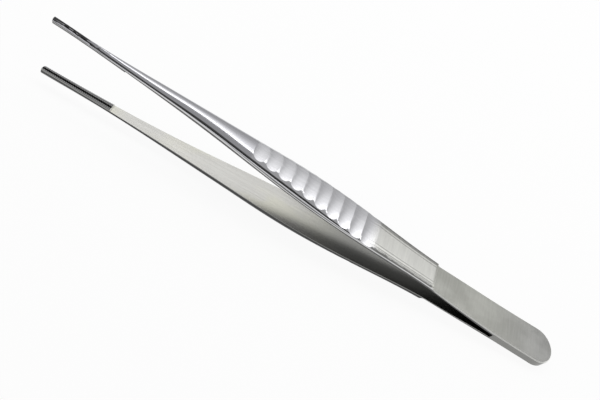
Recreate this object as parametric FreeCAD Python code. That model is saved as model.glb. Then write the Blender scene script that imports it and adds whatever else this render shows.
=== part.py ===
import FreeCAD, Part
import math
import os
from FreeCAD import Vector

# Thumb forceps, in millimetres. Two forged arms meet face to face in the butt. Each has a thin
# spring plate, a thicker grip with a flat panel and a row of flutes, a half round front shaft and
# a toothed jaw. It is drawn level, from the butt at X = 0 to the tips, with Y across the arms and
# Z from arm to arm, and is then laid down on its lower arm, as it comes to rest.

# Stations along the forceps, from the end of the butt
overall_length = 200.0
weld_length = 25.0       # butt block, up to the blunt end of the slot
jaw_length = 25.5        # toothed length, up to the tip
spring_station = 0.185 * overall_length    # where the arms start to part
shoulder_station = 0.2665 * overall_length # step from the spring plate up to the grip
waist_station = 0.295 * overall_length     # narrowest place of the panel
bulge_station = 0.46 * overall_length      # widest place of the grip
neck_station = 0.55 * overall_length       # where the grip narrows into the front shaft
flute_front = 0.643 * overall_length       # front end of the foremost flute
jaw_station = overall_length - jaw_length
shaft_share = 0.38       # full shaft, as a share of the way from the flutes to the jaw
taper_share = 0.73       # where the shaft has thinned down towards the jaw, likewise

# Half opening: from the middle plane to the inner face of an arm
slot_half = 0.88
spring_half = 1.5
waist_half = 3.12
bulge_half = 5.5
flute_front_half = 7.6
jaw_half = 9.9
tip_half = 10.75

# Widths across the arms
butt_width = 13.6
slot_width = 13.1
shoulder_width = 11.0
panel_width = 11.2
waist_width = 11.1
bulge_width = 13.4
neck_width = 12.4
flute_front_width = 9.35
shaft_width = 6.3
taper_width = 4.25
jaw_width = 2.9
tip_width = 2.15
lower_jaw_width = 3.15   # the jaw with two rows of teeth is the broader one
lower_tip_width = 2.2

# Outer face of the spring plate, from the middle plane
butt_outer = 1.86
slot_outer = 1.9
spring_outer = 2.45
shoulder_outer = 3.43
plate_bevel = 0.35
plate_end_taper = 0.1    # how fast the sides of the plate still draw in under the shoulder

# Thickness of the arm, from its inner face to its crest
panel_thickness = 1.86
waist_thickness = 1.72
bulge_thickness = 2.5
neck_thickness = 3.3
flute_front_thickness = 3.2
shaft_thickness = 2.95
taper_thickness = 2.05
jaw_thickness = 1.55
lower_jaw_thickness = 1.7

# Section of the arm: an upright side wall below a rounded crest
panel_side = 1.0
bulge_side = 0.7
neck_side = 0.6
flute_front_side = 0.9
shaft_side = 1.1
taper_side = 0.8
jaw_side = 0.45
lower_jaw_side = 0.65
panel_fullness = 5.0     # 2 is a half ellipse, more is a flatter crest with tighter corners
bulge_fullness = 3.2
neck_fullness = 3.0
flute_front_fullness = 2.5
shaft_fullness = 2.0
crest_steps = 5          # points on each half of the crest

# Shoulder: a hollow ramp from the spring plate to the panel
shoulder_run = 1.4
shoulder_overlap = 4.0
ramp_hollow_run = 0.62   # deepest place of the hollow, as a share of the run and of the rise
ramp_hollow_rise = 0.3

# Flutes across the grip
flute_count = 10
flute_pitch = 4.966
flute_depth = 0.45
flute_crown = 60.0       # radius of the line along the bottom of a flute

# Jaws: raised pads with fine cross teeth, two rows below and one row that drops between them
pad_height = 0.3
tooth_pitch = 0.65
tooth_depth = 0.25
groove_width = 0.8
groove_depth = 0.6
row_clearance = 0.06
row_height = 0.25
groove_start = 0.6
tip_radius = 1.7
lower_tip_radius = 1.8

# Reach of cutting bodies past what they cut
margin = 6.0
far_margin = 2 * margin
halvings = 60            # steps in which a height on a curve is closed in on

# Each jaw: width at its rear and at its tip, height of side wall, thickness, roundness of the tip
upper_jaw = (jaw_width, tip_width, jaw_side, jaw_thickness, tip_radius)
lower_jaw = (
    lower_jaw_width, lower_tip_width, lower_jaw_side, lower_jaw_thickness, lower_tip_radius
)


def point(x, z, y=0.0):
    return Vector(x, y, z)


def smooth_curve(points, start, end):
    curve = Part.BSplineCurve()
    curve.interpolate(Points=points, InitialTangent=start, FinalTangent=end)
    return curve


def line(a, b):
    return Part.LineSegment(a, b).toShape()


def slab(edges, half):
    """Prism across the arms from a closed outline in the X-Z plane."""
    face = Part.Face(Part.Wire(edges))
    face.translate(Vector(0, -half, 0))
    return face.extrude(Vector(0, 2 * half, 0))


def height_at(curve, x):
    low = curve.FirstParameter
    high = curve.LastParameter
    for _ in range(halvings):
        middle = 0.5 * (low + high)
        if curve.value(middle).x < x:
            low = middle
        else:
            high = middle
    return curve.value(0.5 * (low + high)).z


jaw_slope = math.atan2(tip_half - jaw_half, jaw_length)
jaw_direction = Vector(math.cos(jaw_slope), 0, math.sin(jaw_slope))
plate_slope = (waist_half - spring_half) / (waist_station - spring_station)

inner_curve = smooth_curve(
    [
        point(weld_length, slot_half),
        point(spring_station, spring_half),
        point(waist_station, waist_half),
        point(bulge_station, bulge_half),
        point(flute_front, flute_front_half),
        point(jaw_station, jaw_half),
    ],
    Vector(1, 0, 0),
    jaw_direction,
)


def inner_height(x):
    if x < weld_length:
        return slot_half
    if x > jaw_station:
        return jaw_half + (x - jaw_station) * math.tan(jaw_slope)
    return height_at(inner_curve, x)


def section(x, width, side, thickness, fullness):
    """Outline of the arm across the forceps: flat foot, upright walls and a rounded crest."""
    half = width / 2
    base = inner_height(x)
    rise = thickness - side
    crest = []
    for i in range(-crest_steps, crest_steps + 1):
        angle = math.pi / 2 * i / crest_steps
        sign = math.copysign(1, angle)
        across = half * sign * abs(math.sin(angle)) ** (2 / fullness)
        up = rise * max(math.cos(angle), 0.0) ** (2 / fullness)
        crest.append(point(x, base + side + up, across))
    curve = Part.BSplineCurve()
    curve.interpolate(Points=crest, Parameters=[float(i) for i in range(len(crest))])
    foot_left = point(x, -margin, -half)
    foot_right = point(x, -margin, half)
    edges = [
        line(foot_left, crest[0]),
        curve.toShape(),
        line(crest[-1], foot_right),
        line(foot_right, foot_left),
    ]
    return Part.Wire(edges)


def grip_and_shaft(jaw):
    """Each section has a station, width, height of side wall, thickness and fullness."""
    rear_width, front_width, side, thickness, _ = jaw
    rear = shoulder_station - shoulder_overlap
    shaft = flute_front + shaft_share * (jaw_station - flute_front)
    taper = flute_front + taper_share * (jaw_station - flute_front)
    front = overall_length + shoulder_overlap
    stations = [
        (rear, panel_width, panel_side, panel_thickness, panel_fullness),
        (waist_station, waist_width, panel_side, waist_thickness, panel_fullness),
        (bulge_station, bulge_width, bulge_side, bulge_thickness, bulge_fullness),
        (neck_station, neck_width, neck_side, neck_thickness, neck_fullness),
        (
            flute_front, flute_front_width, flute_front_side,
            flute_front_thickness, flute_front_fullness,
        ),
        (shaft, shaft_width, shaft_side, shaft_thickness, shaft_fullness),
        (taper, taper_width, taper_side, taper_thickness, shaft_fullness),
        (jaw_station, rear_width, side, thickness, shaft_fullness),
        (front, front_width, side, thickness, shaft_fullness),
    ]
    body = Part.makeLoft([section(*values) for values in stations], True, False)
    return body.cut(shoulder_cutter())


def shoulder_cutter():
    """Everything behind the hollow ramp that leads up to the panel."""
    start = shoulder_station - shoulder_run
    behind = shoulder_station - 2 * shoulder_overlap
    foot = shoulder_outer - plate_bevel
    ramp_top = inner_height(shoulder_station) + panel_thickness
    above = ramp_top + margin
    below = -far_margin
    hollow = point(
        start + ramp_hollow_run * shoulder_run, foot + ramp_hollow_rise * (ramp_top - foot)
    )
    corner = point(shoulder_station, ramp_top)
    edges = [
        line(point(behind, below), point(start, below)),
        line(point(start, below), point(start, foot)),
        Part.Arc(point(start, foot), hollow, corner).toShape(),
        line(corner, point(shoulder_station, above)),
        line(point(shoulder_station, above), point(behind, above)),
        line(point(behind, above), point(behind, below)),
    ]
    return slab(edges, butt_width)


def plate_outline():
    """Plan of the spring plate: a round butt and sides that draw in towards the grip."""
    half = butt_width / 2
    end = shoulder_station + shoulder_overlap
    end_half = waist_width / 2 - plate_bevel
    side = smooth_curve(
        [
            Vector(half, half, 0),
            Vector(weld_length, slot_width / 2, 0),
            Vector(shoulder_station, shoulder_width / 2, 0),
            Vector(end, end_half, 0),
        ],
        Vector(1, 0, 0),
        Vector(1, -plate_end_taper, 0),
    ).toShape()
    other = side.mirror(Vector(0, 0, 0), Vector(0, 1, 0))
    cross = line(Vector(end, end_half, 0), Vector(end, -end_half, 0))
    butt = Part.Arc(Vector(half, half, 0), Vector(0, 0, 0), Vector(half, -half, 0)).toShape()
    return Part.Wire(Part.sortEdges([side, cross, other, butt])[0])


def spring_plate():
    """Butt and spring plate, cut to the outer face of the plate, with its outer edge broken."""
    plate = Part.Face(plate_outline())
    plate.translate(Vector(0, 0, -margin))
    plate = plate.extrude(Vector(0, 0, far_margin))
    end = shoulder_station + margin
    end_outer = shoulder_outer + (end - shoulder_station) * plate_slope
    outer = smooth_curve(
        [
            point(-margin, butt_outer),
            point(weld_length, slot_outer),
            point(spring_station, spring_outer),
            point(shoulder_station, shoulder_outer),
            point(end, end_outer),
        ],
        Vector(1, 0, 0),
        Vector(1, 0, plate_slope),
    ).toShape()
    above = slab(
        [
            outer,
            line(point(end, end_outer), point(end, far_margin)),
            line(point(end, far_margin), point(-margin, far_margin)),
            line(point(-margin, far_margin), point(-margin, butt_outer)),
        ],
        butt_width,
    )
    plate = plate.cut(above)
    rims = [edge for edge in plate.Edges if edge.BoundBox.ZMin > 0]
    return plate.makeChamfer(plate_bevel, rims)


def inner_cutter():
    """Everything on the inner side of the arm: the weld face, the slot and the open V."""
    pad_drop = Vector(0, 0, -pad_height)
    jaw_start = point(jaw_station, jaw_half)
    jaw_end = jaw_start + jaw_direction * (jaw_length + margin)
    behind = -margin
    below = -far_margin
    edges = [
        line(point(behind, 0), point(weld_length, 0)),
        line(point(weld_length, 0), point(weld_length, slot_half)),
        inner_curve.toShape(),
        line(jaw_start, jaw_start + pad_drop),
        line(jaw_start + pad_drop, jaw_end + pad_drop),
        line(jaw_end + pad_drop, point(jaw_end.x, below)),
        line(point(jaw_end.x, below), point(behind, below)),
        line(point(behind, below), point(behind, 0)),
    ]
    return slab(edges, butt_width)


def flute_cutters(body_crest):
    """Rings round the arm, one for each flute, that bite into the crest with their inner side."""
    bar = (flute_pitch ** 2 / 4 + flute_depth ** 2) / (2 * flute_depth)
    rings = []
    for i in range(flute_count):
        x = flute_front - flute_pitch * (i + 0.5)
        centre = point(x, body_crest(x) - flute_depth - flute_crown)
        ring = Part.makeTorus(flute_crown + bar, bar, centre, Vector(1, 0, 0))
        rings.append(ring)
    return rings


def crest_height(body, x):
    """Height of the crest of an arm at one station."""
    probe = line(point(x, 0), point(x, 2 * far_margin))
    return probe.common(body).BoundBox.ZMax


def tip_cutter(thickness, radius):
    """All of the tip outside a bullet that is as round as the tip."""
    centre = jaw_half + math.tan(jaw_slope) * jaw_length + (thickness - pad_height) / 2
    start = overall_length - 2 * radius
    block = Part.makeBox(
        jaw_length, far_margin, far_margin, Vector(start, -margin, centre - margin)
    )
    ball_at = point(overall_length - radius, centre)
    tail = point(ball_at.x - jaw_length, centre)
    bullet = Part.makeCylinder(radius, jaw_length, tail, Vector(1, 0, 0))
    return block.cut(bullet.fuse(Part.makeSphere(radius, ball_at)))


def in_jaw_frame(shape):
    """Moves a cutter drawn along X, with the pad face at Z = 0, on to the sloping pad."""
    turn = FreeCAD.Rotation(Vector(0, 1, 0), -math.degrees(jaw_slope))
    place = FreeCAD.Placement(point(jaw_station, jaw_half - pad_height), turn)
    moved = shape.copy()
    moved.Placement = place
    return moved


def tooth_comb(width, level):
    """A saw-toothed bar that leaves fine cross teeth on a pad face at the given level."""
    count = int(jaw_length / tooth_pitch) + 1
    corners = []
    for i in range(count):
        x = tooth_pitch * (i + 0.5)
        corners.append(point(x, level))
        corners.append(point(x + tooth_pitch / 2, level + tooth_depth))
    corners.append(point(tooth_pitch * (count + 0.5), level))
    corners.append(point(tooth_pitch * (count + 0.5), level - margin))
    corners.append(point(corners[0].x, level - margin))
    corners.append(corners[0])
    face = Part.Face(Part.makePolygon(corners))
    face.translate(Vector(0, -width / 2, 0))
    return face.extrude(Vector(0, width, 0))


def double_row(body):
    """Lower jaw: a groove down the middle of the pad and a row of teeth on each side."""
    groove = Part.makeBox(
        jaw_length + margin, groove_width, groove_depth + margin,
        Vector(groove_start, -groove_width / 2, -margin),
    )
    body = body.cut(in_jaw_frame(groove))
    return body.cut(in_jaw_frame(tooth_comb(2 * lower_jaw_width, 0)))


def single_row(body):
    """Upper jaw: one narrow row of teeth that stands proud of plain lands."""
    row_width = groove_width - 2 * row_clearance
    row_end = overall_length - tip_radius / 2 - jaw_station
    rear = Part.makeBox(
        jaw_length, row_width, row_height, Vector(groove_start, -row_width / 2, -row_height)
    )
    row = rear.cut(tooth_comb(2 * row_width, -row_height))
    tip_limit = Part.makeBox(row_end, far_margin, far_margin, Vector(0, -margin, -margin))
    return body.fuse(in_jaw_frame(row.common(tip_limit)))


def plain_arm(jaw):
    """An arm with its flutes, before its jaw is toothed, on the upper side of the middle plane."""
    body = grip_and_shaft(jaw).fuse(spring_plate())
    body = body.cut(inner_cutter())
    crest = body.copy()
    body = body.cut(flute_cutters(lambda x: crest_height(crest, x)))
    thickness, radius = jaw[-2:]
    return body.cut(tip_cutter(thickness, radius))


def flipped(shape):
    return shape.mirror(Vector(0, 0, 0), Vector(0, 0, 1))


def resting_angle(arm):
    """Angle of the line that touches an arm on its butt and on the ridges between its flutes."""
    butt_rest = plate_bevel
    rises = []
    for i in range(flute_count + 1):
        x = flute_front - i * flute_pitch
        rises.append(math.atan2(crest_height(arm, x) - butt_outer, x - butt_rest))
    return max(rises)


def laid_down(shape, angle):
    turned = shape.copy()
    turned.rotate(Vector(0, 0, 0), Vector(0, 1, 0), -math.degrees(angle))
    return turned


upper = plain_arm(upper_jaw)
lower = plain_arm(lower_jaw)
angle = resting_angle(lower)
parts = {
    "upper_arm": laid_down(single_row(upper), angle),
    "lower_arm": laid_down(flipped(double_row(lower)), angle),
}

box = parts["upper_arm"].optimalBoundingBox()
box.add(parts["lower_arm"].optimalBoundingBox())
shift = Vector(-(box.XMin + box.XMax) / 2, -(box.YMin + box.YMax) / 2, -box.ZMin)

os.makedirs("parts", exist_ok=True)
for name, shape in parts.items():
    shape = shape.removeSplitter()
    if shape.ShapeType == "Compound":
        shape = shape.Solids[0]
    shape.translate(shift)
    shape.exportStep("parts/" + name + ".step")
    print(name, shape.ShapeType, shape.isValid(), len(shape.Faces), round(shape.Volume, 1))
print("rest angle", round(math.degrees(angle), 3), "shift", shift, "size", box)
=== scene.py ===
import math
import bmesh
import bpy
import numpy
from mathutils import Matrix, Vector


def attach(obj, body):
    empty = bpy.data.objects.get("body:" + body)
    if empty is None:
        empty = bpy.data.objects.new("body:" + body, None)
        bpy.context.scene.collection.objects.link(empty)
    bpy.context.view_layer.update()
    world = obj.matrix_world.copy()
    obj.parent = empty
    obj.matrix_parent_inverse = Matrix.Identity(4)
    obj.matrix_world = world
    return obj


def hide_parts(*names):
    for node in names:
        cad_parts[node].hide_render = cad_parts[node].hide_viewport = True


# Thumb forceps lying on its lower arm: satin butt and panel, polished flutes, shafts and jaws
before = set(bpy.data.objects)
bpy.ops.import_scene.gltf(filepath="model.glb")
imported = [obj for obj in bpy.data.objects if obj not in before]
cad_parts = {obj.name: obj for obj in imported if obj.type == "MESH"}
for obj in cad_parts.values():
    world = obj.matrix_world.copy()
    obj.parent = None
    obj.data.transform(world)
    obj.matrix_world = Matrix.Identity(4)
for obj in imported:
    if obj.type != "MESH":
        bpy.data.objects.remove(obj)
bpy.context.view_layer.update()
print("loaded", sorted(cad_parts))

mm = 0.001
white = (1, 1, 1, 1)
upperSteel = {
    "satin": (0.325, 0.327, 0.302, 1.0),
    "satinPale": (0.385, 0.387, 0.36, 1.0),    # cloudy patches in the satin
    "butt": (0.25, 0.25, 0.242, 1.0),      # the satin grows duller towards the butt
    "buttPale": (0.30, 0.30, 0.292, 1.0),
    "clouds": (80.0, 130.0, 130.0),        # in cycles per metre
    "cloudShares": (0.35, 0.65),
    "buttFrom": -66.0 * mm,
    "buttTo": -100.0 * mm,
    # painted highlight: the rounded edges of the plate are near white
    "edge": (0.90, 0.90, 0.87, 1.0),
    "panel": (0.55, 0.55, 0.525, 1.0),
    "paintedCreaseShade": (0.20, 0.20, 0.19, 1.0),     # painted shade: dark fine lines along both sides of the panel
    "creases": [(0.765, 0.06), (0.575, 0.035)],
    "paintedSlopeShade": (0.27, 0.27, 0.26, 1.0),      # painted shade: the sides of the panel outside the creases
    "slopeShares": (0.80, 0.84),
    "polish": (0.49, 0.49, 0.515, 1.0),
    "flutes": (0.60, 0.60, 0.62, 1.0),
    "flutesEnd": 27.4 * mm,
    "wall": (0.12, 0.12, 0.12, 1.0),       # painted shade on the side wall, with a painted highlight line at its top
    "line": (0.75, 0.75, 0.75, 1.0),
    "buttWall": (0.26, 0.26, 0.25, 1.0),   # side wall along the weld, with lighter painted shade
    "buttEnds": (-76.0 * mm, -74.0 * mm),
    "shoulder": (0.09, 0.09, 0.09, 1.0),   # painted shade: a dark band where the crest turns down to the wall
    "shoulderRise": (0.39, 0.47),          # by how far its normal points up
    "shoulderFall": (0.73, 0.79),
    "linePlace": 1.0,                      # in heights of the side wall
    "lineHalf": 0.45,
    "satinSpread": 0.26,
    "polishSpread": 0.15,
    "satinRoughness": 0.36,
    "polishRoughness": 0.17,
    "plateEnd": -46.6 * mm,     # shoulder, between the spring plate and the panel
    "panelEnd": -21.0 * mm,     # where the panel meets the first flute
    # painted shade on the inner face, between the arms
    "paintedInnerShade": (0.20, 0.20, 0.20, 1.0),
    "blend": 0.4 * mm,          # half the width in which one finish turns into the next
    "polishBlend": 3.0 * mm,
    "flatUp": (0.80, 0.92),     # how far a normal points up on the flat of the plate
    "wallUp": (0.10, 0.30),     # and on the side wall, up or down
    "innerUp": (-0.7, -0.4),    # and on the inner face
}
lowerSteel = {
    "warm": (0.53, 0.525, 0.465, 1.0),
    "cool": (0.50, 0.495, 0.475, 1.0),
    "patches": (50.0, 90.0, 90.0),         # in cycles per metre
    "patchShares": (0.4, 0.6),
    # painted shade on the side wall
    "wall": (0.06, 0.06, 0.06, 1.0),
    "buttWall": (0.26, 0.26, 0.25, 1.0),   # side wall along the weld, with lighter painted shade
    "buttEnds": (-76.0 * mm, -74.0 * mm),
    "paintedRimHighlight": (0.30, 0.30, 0.29, 1.0),        # painted highlight on the edge between the side wall and the inner face
    "rimShares": (0.2, 0.4),               # in heights of the side wall
    "spread": 0.3,
    "crest": (0.49, 0.49, 0.515, 1.0),
    "teeth": (0.30, 0.30, 0.30, 1.0),
    # painted shade in the groove down the middle of the jaw
    "groove": (0.03, 0.03, 0.03, 1.0),
    "jawEnds": (74.6 * mm, 75.1 * mm),     # where the teeth start
    "grooveHalf": (0.37 * mm, 0.42 * mm),
    "satinRoughness": 0.34,
    "polishRoughness": 0.24,
    "shadeStart": -20.0 * mm,    # from here to the slot the inner face is darker, with painted shade
    "shadeEnd": 20.0 * mm,
    # painted shade on the inner face, between the arms
    "paintedInnerShade": (0.22, 0.22, 0.21, 1.0),
    "innerUp": (0.3, 0.5),      # how far a normal points up on the inner face
    "crestUp": (-0.85, -0.7),   # and on the crest, which lies underneath
}
armForm = {
    "lean": math.radians(4.0857),              # the forceps lie with their jaws up
    "shift": (-100.10307, 0.0, 1.975111),      # in millimetres, as all sizes here are
    "ledge": 54.5,             # from here to the tip the arm has its rounded crest
    "crestSteps": 5,
    "crownRadius": 60.0,       # of the line along the bottom of a flute
    "fluteFront": 128.6,
    "flutePitch": 4.966,
    "fluteDepth": 0.45,
    "weld": 0.001,
    "sharp": math.radians(28),
    "agree": 0.90,             # cosine of the angle within which a true normal is taken over
    "refined": 129.5,          # from here to the tip the crest gets a finer mesh
    "longEdge": 0.5,
    "cuts": 3,
    "onCrest": 0.02,           # how close a point is to the surface that it belongs to
    "nearCrest": 0.08,
    "nearFlute": 0.02,
    "samples": 801,            # points on the section in which the nearest one is sought
}
# Sections: station, width, height of wall, thickness, fullness and height of the inner face
sharedSections = [
    (49.3, 11.2, 1.0, 1.86, 5.0, 2.4149),
    (59.0, 11.1, 1.0, 1.72, 5.0, 3.12),
    (92.0, 13.4, 0.7, 2.5, 3.2, 5.5),
    (110.0, 12.4, 0.6, 3.3, 3.0, 6.571),
    (128.6, 9.35, 0.9, 3.2, 2.5, 7.6),
    (146.042, 6.3, 1.1, 2.95, 2.0, 8.6046),
    (162.107, 4.25, 0.8, 2.05, 2.0, 9.4189),
]
upperForm = {
    "side": 1,
    "sections": sharedSections + [
        (174.5, 2.9, 0.45, 1.55, 2.0, 9.9),
        (204.0, 2.15, 0.45, 1.55, 2.0, 10.8833),
    ],
    "crests": [10.6892, 10.4892, 10.2603, 9.9587, 9.5655, 9.0819, 8.5244, 7.92, 7.3017, 6.7038],
}
lowerForm = {
    "side": -1,
    "sections": sharedSections + [
        (174.5, 3.15, 0.65, 1.7, 2.0, 9.9),
        (204.0, 2.2, 0.65, 1.7, 2.0, 10.8833),
    ],
    "crests": [10.6868, 10.4855, 10.2579, 9.9583, 9.5666, 9.0836, 8.5255, 7.9198, 7.2998, 6.7003],
}
brushing = {
    "across": (1500.0, 130.0, 130.0),  # fine lines across the arm, in cycles per metre
    "along": (70.0, 1800.0, 900.0),
    "roughnessSpread": 0.10,
    "depth": 0.006 * mm,
    "detail": 3.0,
}
view = {
    "place": (0.028550, 0.138940, 0.170170),
    "along": (-0.10455, -0.65190, -0.75106),
    "up": (0.48335, -0.69332, 0.53450),
    "lens": 38.4,      # on a 36 mm wide sensor
    "clipStart": 0.01,
}
light = {
    "worldLevel": 0.5,
    "floorColor": (0.92, 0.92, 0.92, 1.0),
    "floorGlow": 0.92,     # share of plain white in what the camera and metal see of the floor
    "floorReach": 12.0,
    "boxAway": 0.7,        # from the middle of the object to the soft box
    "boxElevation": 68.0,  # degrees above the floor, on the far side
    "boxLong": 1.8,
    "boxWide": 0.2,
    "boxPower": 3.0,
    "stageRoughness": 0.9,
}
darkCard = {
    "color": (0.01, 0.01, 0.012, 1.0),
    "left": -0.15,
    "right": 0.45,
    "foot": (0.32, 0.02),      # Y and Z of its lower edge
    "head": (0.32, 0.14),
}
glowCard = {
    "left": -1.2,
    "right": 1.2,
    "foot": (-0.9, 0.0),
    "head": (-0.42, 0.75),
    "steps": [
        (0.0, 0.5), (0.5, 0.62), (0.68, 0.76), (0.75, 1.0),
        (0.82, 1.2), (0.9, 1.4), (0.95, 2.2), (1.0, 2.4),
    ],
}


def newTree(material):
    material.use_nodes = True
    tree = material.node_tree
    tree.nodes.clear()
    return tree


def addNode(tree, kind, **values):
    node = tree.nodes.new(kind)
    for name, value in values.items():
        setattr(node, name, value)
    return node


def addObject(name, data):
    piece = bpy.data.objects.new(name, data)
    bpy.context.scene.collection.objects.link(piece)
    return piece


def fill(tree, socket, value):
    # A socket takes either a link or a plain value
    if isinstance(value, bpy.types.NodeSocket):
        tree.links.new(value, socket)
    else:
        socket.default_value = value


def calculate(tree, operation, first, second=0.0):
    node = addNode(tree, "ShaderNodeMath", operation=operation)
    fill(tree, node.inputs[0], first)
    fill(tree, node.inputs[1], second)
    return node.outputs[0]


def ramp(tree, value, start, end, low=0.0, high=1.0):
    node = addNode(tree, "ShaderNodeMapRange", interpolation_type="SMOOTHSTEP")
    fill(tree, node.inputs["Value"], value)
    node.inputs["From Min"].default_value = start
    node.inputs["From Max"].default_value = end
    node.inputs["To Min"].default_value = low
    node.inputs["To Max"].default_value = high
    return node.outputs["Result"]


def mixColor(tree, share, first, second):
    node = addNode(tree, "ShaderNodeMix", data_type="RGBA")
    fill(tree, node.inputs[0], share)
    fill(tree, node.inputs[6], first)
    fill(tree, node.inputs[7], second)
    return node.outputs[2]


def mixValue(tree, share, first, second):
    node = addNode(tree, "ShaderNodeMix", data_type="FLOAT")
    fill(tree, node.inputs[0], share)
    fill(tree, node.inputs[2], first)
    fill(tree, node.inputs[3], second)
    return node.outputs[0]


def streaks(tree, place, scale):
    # Noise drawn out along one direction, between 0 and 1
    mapping = addNode(tree, "ShaderNodeMapping")
    mapping.inputs["Scale"].default_value = scale
    tree.links.new(place, mapping.inputs["Vector"])
    noise = addNode(tree, "ShaderNodeTexNoise")
    noise.inputs["Scale"].default_value = 1.0
    noise.inputs["Detail"].default_value = brushing["detail"]
    tree.links.new(mapping.outputs["Vector"], noise.inputs["Vector"])
    return noise.outputs["Fac"]


def finishSteel(tree, place, color, roughness, acrossShare, colorSpread):
    # Brushing in colour, roughness and height over the plain steel of each zone
    across = streaks(tree, place, brushing["across"])
    along = streaks(tree, place, brushing["along"])
    grain = mixValue(tree, acrossShare, along, across)
    centred = calculate(tree, "SUBTRACT", grain, 0.5)
    spread = calculate(tree, "MULTIPLY", centred, brushing["roughnessSpread"])
    tone = calculate(tree, "MULTIPLY_ADD", centred, colorSpread)
    tone.node.inputs[2].default_value = 1.0
    toned = addNode(tree, "ShaderNodeVectorMath", operation="SCALE")
    fill(tree, toned.inputs[0], color)
    fill(tree, toned.inputs["Scale"], tone)
    bump = addNode(tree, "ShaderNodeBump")
    bump.inputs["Strength"].default_value = 1.0
    bump.inputs["Distance"].default_value = brushing["depth"]
    fill(tree, bump.inputs["Height"], grain)
    output = addNode(tree, "ShaderNodeOutputMaterial")
    shader = addNode(tree, "ShaderNodeBsdfPrincipled")
    shader.inputs["Metallic"].default_value = 1.0
    tree.links.new(toned.outputs[0], shader.inputs["Base Color"])
    fill(tree, shader.inputs["Roughness"], calculate(tree, "ADD", roughness, spread))
    tree.links.new(bump.outputs["Normal"], shader.inputs["Normal"])
    tree.links.new(shader.outputs["BSDF"], output.inputs["Surface"])


def band(tree, value, centre, half):
    # A soft line where the value is near its centre
    rising = ramp(tree, value, centre - half, centre)
    falling = ramp(tree, value, centre, centre + half, 1.0, 0.0)
    return calculate(tree, "MULTIPLY", rising, falling)


def measured(tree, name):
    node = addNode(tree, "ShaderNodeAttribute", attribute_name=name)
    return node.outputs["Fac"]


def steelStart(name):
    material = bpy.data.materials.new(name)
    tree = newTree(material)
    source = addNode(tree, "ShaderNodeTexCoord")
    parts = addNode(tree, "ShaderNodeSeparateXYZ")
    tree.links.new(source.outputs["Object"], parts.inputs[0])
    facing = addNode(tree, "ShaderNodeSeparateXYZ")
    tree.links.new(source.outputs["Normal"], facing.inputs[0])
    return material, tree, source.outputs["Object"], parts.outputs, facing.outputs["Z"]


def weldShare(tree, x, values):
    # How much of a place belongs to the welded butt
    return ramp(tree, x, *values["buttEnds"], 1.0, 0.0)


def upperMaterial(values):
    material, tree, place, parts, up = steelStart("upper steel")
    x = parts["X"]
    blend, wide = values["blend"], values["polishBlend"]
    pastPlate = ramp(tree, x, values["plateEnd"] - blend, values["plateEnd"] + blend)
    pastPanel = ramp(tree, x, values["panelEnd"] - wide, values["panelEnd"] + wide)
    flat = ramp(tree, up, *values["flatUp"])
    dulled = ramp(tree, x, values["buttTo"], values["buttFrom"])
    clouds = ramp(tree, streaks(tree, place, values["clouds"]), *values["cloudShares"])
    dull = mixColor(tree, clouds, values["butt"], values["buttPale"])
    bright = mixColor(tree, clouds, values["satin"], values["satinPale"])
    satin = mixColor(tree, dulled, dull, bright)
    # Painted highlight on the rounded edges of the plate
    plate = mixColor(tree, flat, values["edge"], satin)
    aside = calculate(tree, "ABSOLUTE", measured(tree, "aside"))
    # Painted shade on the sloping sides of the panel
    sloping = ramp(tree, aside, *values["slopeShares"])
    panel = mixColor(tree, sloping, values["panel"], values["paintedSlopeShade"])
    # Painted shade in fine lines along both sides of the panel
    for centre, half in values["creases"]:
        panel = mixColor(tree, band(tree, aside, centre, half), panel, values["paintedCreaseShade"])
    rear = mixColor(tree, pastPlate, plate, panel)
    end = values["flutesEnd"]
    pastFlutes = ramp(tree, x, end - blend, end + blend)
    polish = mixColor(tree, pastFlutes, values["flutes"], values["polish"])
    # Painted shade in a dark band along the shoulders of the crest
    rising = ramp(tree, up, *values["shoulderRise"])
    falling = ramp(tree, up, *values["shoulderFall"], 1.0, 0.0)
    shoulder = calculate(tree, "MULTIPLY", rising, falling)
    polish = mixColor(tree, shoulder, polish, values["shoulder"])
    outside = mixColor(tree, pastPanel, rear, polish)
    # Painted shade on the side wall, a painted highlight line at its top, and lighter painted
    # shade along the weld
    sideways = calculate(tree, "ABSOLUTE", up)
    upright = ramp(tree, sideways, *values["wallUp"], 1.0, 0.0)
    line = band(tree, measured(tree, "rise"), values["linePlace"], values["lineHalf"])
    wall = mixColor(tree, line, values["wall"], values["line"])
    wall = mixColor(tree, weldShare(tree, x, values), wall, values["buttWall"])
    walled = mixColor(tree, upright, outside, wall)
    # Painted shade on the inner face
    inside = ramp(tree, up, *values["innerUp"], 1.0, 0.0)
    color = mixColor(tree, inside, walled, values["paintedInnerShade"])
    roughness = mixValue(tree, pastPanel, values["satinRoughness"], values["polishRoughness"])
    spread = mixValue(tree, pastPanel, values["satinSpread"], values["polishSpread"])
    acrossShare = calculate(tree, "SUBTRACT", 1.0, pastPanel)
    finishSteel(tree, place, color, roughness, acrossShare, spread)
    return material


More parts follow.
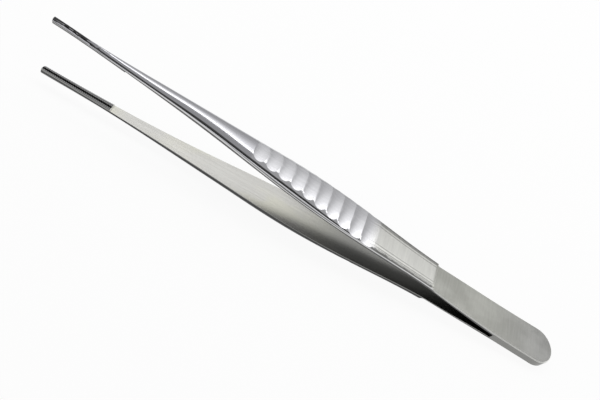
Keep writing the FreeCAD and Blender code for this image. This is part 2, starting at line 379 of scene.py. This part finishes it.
def lowerMaterial(values):
    material, tree, place, parts, up = steelStart("lower steel")
    x = parts["X"]
    # Painted shade on the inner face, growing towards the slot
    forward = ramp(tree, x, values["shadeStart"], values["shadeEnd"])
    patches = streaks(tree, place, values["patches"])
    shade = ramp(tree, patches, *values["patchShares"])
    plain = mixColor(tree, shade, values["warm"], values["cool"])
    inner = mixColor(tree, forward, values["paintedInnerShade"], plain)
    aside = calculate(tree, "ABSOLUTE", parts["Y"])
    # Painted shade in the groove down the middle of the jaw
    middle = ramp(tree, aside, *values["grooveHalf"], 1.0, 0.0)
    jaw = mixColor(tree, middle, values["teeth"], values["groove"])
    onJaw = ramp(tree, x, *values["jawEnds"])
    face = mixColor(tree, onJaw, inner, jaw)
    below = ramp(tree, up, *values["crestUp"])
    # Painted shade on the side wall, a painted highlight on its edge by the inner face, and
    # lighter painted shade along the weld
    paintedRimHighlight = ramp(tree, measured(tree, "rise"), *values["rimShares"], 1.0, 0.0)
    wall = mixColor(tree, paintedRimHighlight, values["wall"], values["paintedRimHighlight"])
    wall = mixColor(tree, weldShare(tree, x, values), wall, values["buttWall"])
    outside = mixColor(tree, below, values["crest"], wall)
    inside = ramp(tree, up, *values["innerUp"])
    color = mixColor(tree, inside, outside, face)
    roughness = mixValue(tree, inside, values["satinRoughness"], values["polishRoughness"])
    finishSteel(tree, place, color, roughness, 0.0, values["spread"])
    return material


def plainShader(tree, color):
    shader = addNode(tree, "ShaderNodeBsdfPrincipled")
    shader.inputs["Base Color"].default_value = color
    shader.inputs["Roughness"].default_value = light["stageRoughness"]
    return shader.outputs["BSDF"]


def cardOutput(tree, surface):
    # A card lights the steel and shows in it, and the camera looks through it
    paths = addNode(tree, "ShaderNodeLightPath")
    clear = addNode(tree, "ShaderNodeBsdfTransparent")
    mix = addNode(tree, "ShaderNodeMixShader")
    tree.links.new(paths.outputs["Is Camera Ray"], mix.inputs[0])
    tree.links.new(surface, mix.inputs[1])
    tree.links.new(clear.outputs[0], mix.inputs[2])
    output = addNode(tree, "ShaderNodeOutputMaterial")
    tree.links.new(mix.outputs[0], output.inputs["Surface"])


def darkMaterial(values):
    material = bpy.data.materials.new("dark card")
    tree = newTree(material)
    cardOutput(tree, plainShader(tree, values["color"]))
    return material


def floorMaterial(values):
    # White for the camera and for metal, with some of its own shading so that the shadow stays
    material = bpy.data.materials.new("floor")
    tree = newTree(material)
    shader = plainShader(tree, values["floorColor"])
    output = addNode(tree, "ShaderNodeOutputMaterial")
    paths = addNode(tree, "ShaderNodeLightPath")
    seen = paths.outputs["Is Camera Ray"]
    for ray in ("Is Glossy Ray", "Is Transmission Ray"):
        seen = calculate(tree, "MAXIMUM", seen, paths.outputs[ray])
    share = calculate(tree, "MULTIPLY", seen, values["floorGlow"])
    glow = addNode(tree, "ShaderNodeEmission")
    glow.inputs["Color"].default_value = white
    mix = addNode(tree, "ShaderNodeMixShader")
    tree.links.new(share, mix.inputs[0])
    tree.links.new(shader, mix.inputs[1])
    tree.links.new(glow.outputs[0], mix.inputs[2])
    tree.links.new(mix.outputs[0], output.inputs["Surface"])
    return material


def glowMaterial(values):
    # The glow grows from the foot of the card to its head
    material = bpy.data.materials.new("glow card")
    tree = newTree(material)
    source = addNode(tree, "ShaderNodeTexCoord")
    parts = addNode(tree, "ShaderNodeSeparateXYZ")
    tree.links.new(source.outputs["Object"], parts.inputs[0])
    height = ramp(tree, parts.outputs["Z"], values["foot"][1], values["head"][1])
    height.node.interpolation_type = "LINEAR"
    brightest = max(level for _, level in values["steps"])
    curve = addNode(tree, "ShaderNodeValToRGB")
    stops = curve.color_ramp.elements
    for number, (share, level) in enumerate(values["steps"]):
        stop = stops[number] if number < 2 else stops.new(share)
        stop.position = share
        stop.color = (level / brightest, level / brightest, level / brightest, 1)
    tree.links.new(height, curve.inputs[0])
    glow = addNode(tree, "ShaderNodeEmission")
    glow.inputs["Strength"].default_value = brightest
    tree.links.new(curve.outputs[0], glow.inputs["Color"])
    cardOutput(tree, glow.outputs[0])
    return material


def stagePlane(name, corners, material):
    mesh = bpy.data.meshes.new(name)
    mesh.from_pydata(corners, [], [(0, 1, 2, 3)])
    mesh.materials.append(material)
    plane = addObject(name, mesh)
    return plane


def addCard(name, values, material):
    # A card along X, between a lower and an upper edge
    left, right = values["left"], values["right"]
    footY, footZ = values["foot"]
    headY, headZ = values["head"]
    corners = [
        (left, footY, footZ), (right, footY, footZ), (right, headY, headZ), (left, headY, headZ)
    ]
    return stagePlane(name, corners, material)


def splineWeights(knots, places):
    # Weights of the knots in a cubic spline, and in its slope, at each place
    knots = numpy.asarray(knots, float)
    places = numpy.asarray(places, float)
    count = len(knots)
    gaps = numpy.diff(knots)
    left = numpy.zeros((count, count))
    right = numpy.zeros((count, count))
    for i in range(1, count - 1):
        left[i, i - 1:i + 2] = gaps[i - 1], 2 * (gaps[i - 1] + gaps[i]), gaps[i]
        right[i, i - 1:i + 2] = 6 / gaps[i - 1], -6 / gaps[i - 1] - 6 / gaps[i], 6 / gaps[i]
    left[0, :3] = gaps[1], -gaps[0] - gaps[1], gaps[0]
    left[-1, -3:] = gaps[-1], -gaps[-2] - gaps[-1], gaps[-2]
    bends = numpy.linalg.solve(left, right)
    span = numpy.clip(numpy.searchsorted(knots, places) - 1, 0, count - 2)
    gap = gaps[span]
    a = (knots[span + 1] - places) / gap
    b = 1 - a
    row = numpy.arange(len(places))
    values = ((a ** 3 - a) * gap ** 2 / 6)[:, None] * bends[span]
    values += ((b ** 3 - b) * gap ** 2 / 6)[:, None] * bends[span + 1]
    values[row, span] += a
    values[row, span + 1] += b
    slopes = ((1 - 3 * a ** 2) * gap / 6)[:, None] * bends[span]
    slopes += ((3 * b ** 2 - 1) * gap / 6)[:, None] * bends[span + 1]
    slopes[row, span] -= 1 / gap
    slopes[row, span + 1] += 1 / gap
    return values, slopes


def unit(vectors):
    return vectors / numpy.linalg.norm(vectors, axis=1, keepdims=True)


def toArm(points, form):
    # From the lying forceps to the drawing of one arm, along X and level
    lean = armForm["lean"]
    p = points / mm - numpy.array(armForm["shift"])
    x = p[:, 0] * math.cos(lean) + p[:, 2] * math.sin(lean)
    z = p[:, 2] * math.cos(lean) - p[:, 0] * math.sin(lean)
    return numpy.stack([x, p[:, 1], z * form["side"]], 1)


def fromArm(points, form):
    return (turned(points, form, armForm["lean"]) + numpy.array(armForm["shift"])) * mm


def turned(vectors, form, lean):
    x, y, z = vectors[:, 0], vectors[:, 1], vectors[:, 2] * form["side"]
    return numpy.stack(
        [x * math.cos(lean) - z * math.sin(lean), y, x * math.sin(lean) + z * math.cos(lean)], 1
    )


def crestSurface(points, form):
    # Nearest normal of the rounded crest, the distance from it, and the sizes of the section
    steps = armForm["crestSteps"]
    angles = numpy.linspace(-math.pi / 2, math.pi / 2, 2 * steps + 1)
    across, up = [], []
    for _, width, wall, thickness, fullness, inner in form["sections"]:
        power = 2 / fullness
        across.append(width / 2 * numpy.sign(angles) * numpy.abs(numpy.sin(angles)) ** power)
        up.append(inner + wall + (thickness - wall) * numpy.maximum(numpy.cos(angles), 0) ** power)
    across, up = numpy.array(across), numpy.array(up)
    values, slopes = splineWeights([s[0] for s in form["sections"]], points[:, 0])
    along = numpy.linspace(0, 2 * steps, armForm["samples"])
    samples, turns = splineWeights(range(2 * steps + 1), along)
    y, z = values @ across @ samples.T, values @ up @ samples.T
    away = numpy.hypot(y - points[:, 1:2], z - points[:, 2:3])
    best = away.argmin(1)
    row = numpy.arange(len(points))
    alongY, alongZ = (slopes @ across @ samples.T)[row, best], (slopes @ up @ samples.T)[row, best]
    sideY, sideZ = (values @ across @ turns.T)[row, best], (values @ up @ turns.T)[row, best]
    normals = numpy.stack([sideY * alongZ - sideZ * alongY, sideZ, -sideY], 1) * -1
    sizes = values @ numpy.array([(s[1] / 2, s[2], s[5]) for s in form["sections"]])
    nearest = numpy.stack([points[:, 0], y[row, best], z[row, best]], 1)
    return unit(normals), away[row, best], sizes, nearest


def fluteSurface(points, form):
    # The same for the nearest flute, which is the inside of a ring round the arm
    pitch, depth, crown = armForm["flutePitch"], armForm["fluteDepth"], armForm["crownRadius"]
    bar = (pitch ** 2 / 4 + depth ** 2) / (2 * depth)
    crests = numpy.array(form["crests"])
    number = numpy.floor((armForm["fluteFront"] - points[:, 0]) / pitch).astype(int)
    number = numpy.clip(number, 0, len(crests) - 1)
    centreX = armForm["fluteFront"] - pitch * (number + 0.5)
    centreZ = crests[number] - depth - crown
    spoke = numpy.stack([0 * centreZ, points[:, 1], points[:, 2] - centreZ], 1)
    ring = unit(spoke) * (crown + bar)
    ring[:, 0] = centreX
    ring[:, 2] += centreZ
    toRing = ring - points
    return unit(toRing), numpy.abs(numpy.linalg.norm(toRing, axis=1) - bar)


def refineCrest(shape, form):
    # More points on the crest of the shaft, each on its true surface
    places = toArm(numpy.array([vert.co for vert in shape.verts]), form)
    _, off, _, _ = crestSurface(places, form)
    on = (off < armForm["onCrest"]) & (places[:, 0] > armForm["refined"])
    shape.verts.index_update()
    limit = armForm["longEdge"] * mm
    edges = [
        edge for edge in shape.edges
        if on[edge.verts[0].index] and on[edge.verts[1].index] and edge.calc_length() > limit
    ]
    made = bmesh.ops.subdivide_edges(
        shape, edges=edges, cuts=armForm["cuts"], use_grid_fill=True, use_only_quads=False
    )
    fresh = [part for part in made["geom_inner"] if isinstance(part, bmesh.types.BMVert)]
    places = toArm(numpy.array([vert.co for vert in fresh]), form)
    _, off, _, nearest = crestSurface(places, form)
    nearest = fromArm(nearest, form)
    for vert, distance, place in zip(fresh, off, nearest):
        if distance < armForm["nearCrest"]:
            vert.co = place
    bmesh.ops.triangulate(shape, faces=shape.faces)
    print("crest refined with", len(fresh), "points")


def listed(collection, name, width=1, kind=float):
    values = numpy.zeros(len(collection) * width, kind)
    collection.foreach_get(name, values)
    return values.reshape(-1, width) if width > 1 else values


def dressedArm(node, name, form, material):
    # A merged copy of the solid, with the true normals of its crest and of its flutes
    mesh = bpy.data.objects[node].data.copy()
    mesh.name = name
    shape = bmesh.new()
    shape.from_mesh(mesh)
    bmesh.ops.remove_doubles(shape, verts=shape.verts, dist=armForm["weld"] * mm)
    refineCrest(shape, form)
    shape.to_mesh(mesh)
    shape.free()
    if "custom_normal" in mesh.attributes:
        mesh.attributes.remove(mesh.attributes["custom_normal"])
    mesh.materials.clear()
    mesh.materials.append(material)
    mesh.polygons.foreach_set("use_smooth", [True] * len(mesh.polygons))
    mesh.polygons.foreach_set("material_index", [0] * len(mesh.polygons))
    mesh.set_sharp_from_angle(angle=armForm["sharp"])
    corners = len(mesh.loops)
    places = toArm(listed(mesh.vertices, "co", 3), form)
    normals = listed(mesh.corner_normals, "vector", 3)
    vertex = listed(mesh.loops, "vertex_index", kind=int)
    totals = listed(mesh.polygons, "loop_total", kind=int)
    faceOf = numpy.repeat(listed(mesh.polygons, "normal", 3), totals, axis=0)
    crest, offCrest, sizes, _ = crestSurface(places, form)
    flute, offFlute = fluteSurface(places, form)
    best = numpy.full(corners, armForm["agree"])
    surfaces = ((crest, offCrest, armForm["nearCrest"]), (flute, offFlute, armForm["nearFlute"]))
    for true, off, limit in surfaces:
        true = turned(true, form, armForm["lean"])[vertex]
        match = (true * faceOf).sum(1)
        chosen = (places[vertex, 0] > armForm["ledge"]) & (off[vertex] < limit) & (match > best)
        normals[chosen] = true[chosen]
        best[chosen] = match[chosen]
        print(name, "corners given a true normal", int(chosen.sum()), "of", corners)
    mesh.normals_split_custom_set(normals.tolist())
    rise = mesh.attributes.new("rise", "FLOAT", "POINT")
    rise.data.foreach_set("value", (places[:, 2] - sizes[:, 2]) / sizes[:, 1])
    aside = mesh.attributes.new("aside", "FLOAT", "POINT")
    aside.data.foreach_set("value", places[:, 1] / sizes[:, 0])
    arm = addObject(name, mesh)
    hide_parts(node)
    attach(arm, "root")
    return arm


upperArm = dressedArm("upper_arm", "upperArm", upperForm, upperMaterial(upperSteel))
lowerArm = dressedArm("lower_arm", "lowerArm", lowerForm, lowerMaterial(lowerSteel))
print("arms done")

# Camera at the angle of the photograph
camera = addObject("camera", bpy.data.cameras.new("camera"))
back = -Vector(view["along"]).normalized()
side = Vector(view["up"]).cross(back).normalized()
above = back.cross(side)
turn = Matrix((side, above, back)).transposed().to_4x4()
camera.matrix_world = Matrix.Translation(Vector(view["place"])) @ turn
camera.data.lens = view["lens"]
camera.data.clip_start = view["clipStart"]
bpy.context.scene.camera = camera

# Floor, cards and lights
reach = light["floorReach"]
floorCorners = [(-reach, -reach, 0), (reach, -reach, 0), (reach, reach, 0), (-reach, reach, 0)]
stagePlane("floor", floorCorners, floorMaterial(light))
addCard("darkCard", darkCard, darkMaterial(darkCard))
addCard("glowCard", glowCard, glowMaterial(glowCard))

lamp = bpy.data.lights.new("softBox", "AREA")
lamp.shape = "RECTANGLE"
lamp.size = light["boxLong"]
lamp.size_y = light["boxWide"]
lamp.energy = light["boxPower"]
box = addObject("softBox", lamp)
angle = math.radians(light["boxElevation"])
box.location = (0, -light["boxAway"] * math.cos(angle), light["boxAway"] * math.sin(angle))
box.rotation_euler = (angle - math.pi / 2, 0, 0)

world = bpy.data.worlds.new("studio")
bpy.context.scene.world = world
world.use_nodes = True
background = world.node_tree.nodes["Background"]
background.inputs["Color"].default_value = white
background.inputs["Strength"].default_value = light["worldLevel"]
print("stage done")

bpy.context.scene.view_settings.view_transform = "Standard"
